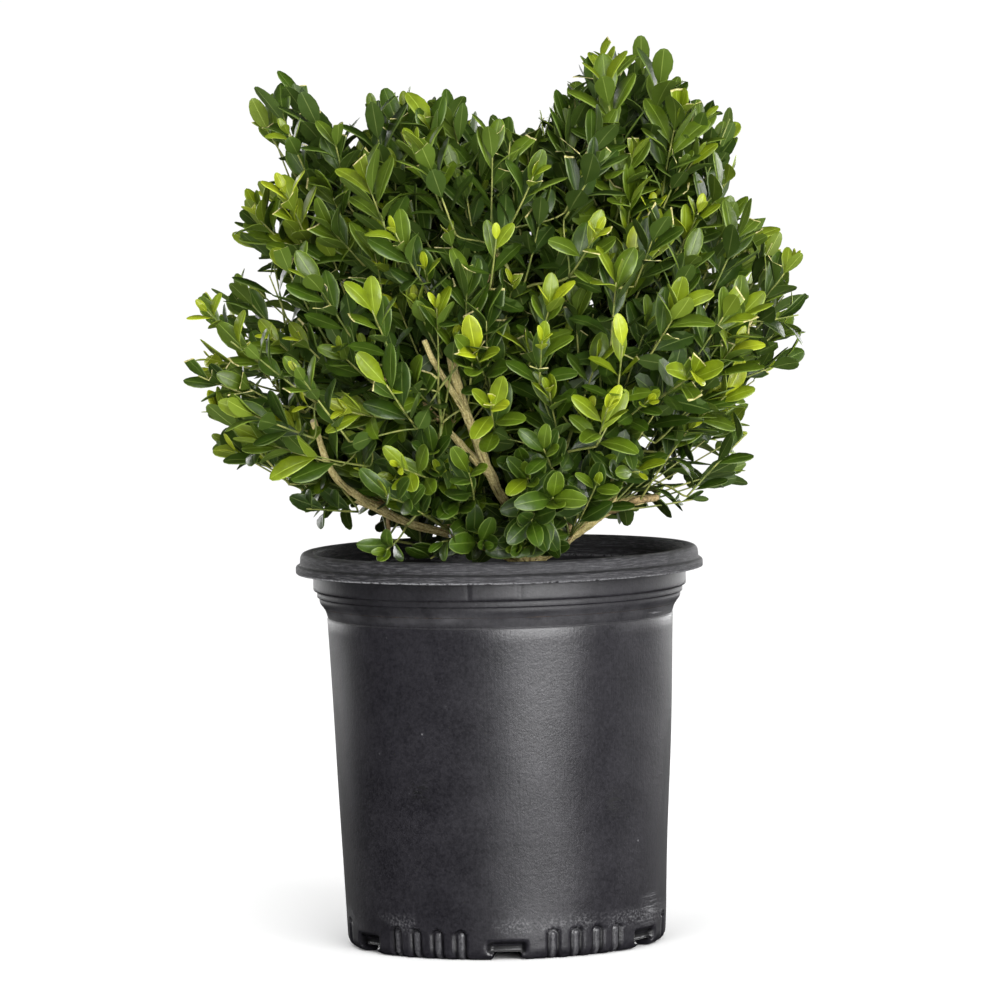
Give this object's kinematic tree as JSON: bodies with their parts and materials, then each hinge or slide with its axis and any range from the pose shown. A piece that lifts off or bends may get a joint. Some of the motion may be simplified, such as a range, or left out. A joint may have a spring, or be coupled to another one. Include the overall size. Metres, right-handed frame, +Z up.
{
  "type": "potted boxwood shrub",
  "caption": "Young boxwood shrub, bushy from one short trunk with a notched, irregular top, growing in a round black nursery pot with a rolled rim and notched feet.",
  "frame": {"origin": "centre of the pot's underside, on the flat hub level with its feet", "axes": "+Z up; -Y towards the plant's front, the side with the bare front stem; +X to the right seen from the front"},
  "size_m": [0.3463, 0.3219, 0.4966],
  "materials": {
    "black_polyethylene": "charcoal black moulded polyethylene with a satin sheen, scuffed at the rim and foot",
    "bark_mix": "dark moist bark and peat potting mix",
    "boxwood_bark": "light tan corky bark with lengthwise cracks",
    "boxwood_leaves": "glossy deep green leaves, yellow-green at the shoot tips, on green-yellow twigs"
  },
  "bodies": {
    "root": {"bough_back": "boxwood_bark", "bough_centre": "boxwood_bark", "bough_front": "boxwood_bark", "bough_left": "boxwood_bark", "bough_low_back": "boxwood_bark", "bough_low_front": "boxwood_bark", "bough_low_left": "boxwood_bark", "bough_low_right": "boxwood_bark", "bough_right": "boxwood_bark", "cut_stem_front": "boxwood_bark", "cut_stem_left": "boxwood_bark", "foliage_back_left": "boxwood_leaves", "foliage_back_right": "boxwood_leaves", "foliage_front_left": "boxwood_leaves", "foliage_front_right": "boxwood_leaves", "foliage_heart": "boxwood_leaves", "foliage_left": "boxwood_leaves", "foliage_low_back": "boxwood_leaves", "foliage_low_front_left": "boxwood_leaves", "foliage_low_front_right": "boxwood_leaves", "foliage_low_left": "boxwood_leaves", "foliage_low_right": "boxwood_leaves", "foliage_right": "boxwood_leaves", "foliage_top_back": "boxwood_leaves", "foliage_top_centre": "boxwood_leaves", "foliage_top_far_right": "boxwood_leaves", "foliage_top_front": "boxwood_leaves", "foliage_top_left": "boxwood_leaves", "foliage_top_right": "boxwood_leaves", "pot": "black_polyethylene", "potting_mix": "bark_mix", "side_bough_back_left": "boxwood_bark", "side_bough_back_right": "boxwood_bark", "side_bough_front_left": "boxwood_bark", "side_bough_front_right": "boxwood_bark", "side_bough_heart": "boxwood_bark", "side_bough_left": "boxwood_bark", "side_bough_low_front_right": "boxwood_bark", "side_bough_right": "boxwood_bark", "side_bough_top_far_right": "boxwood_bark", "trunk": "boxwood_bark"}
  },
  "joints": []
}
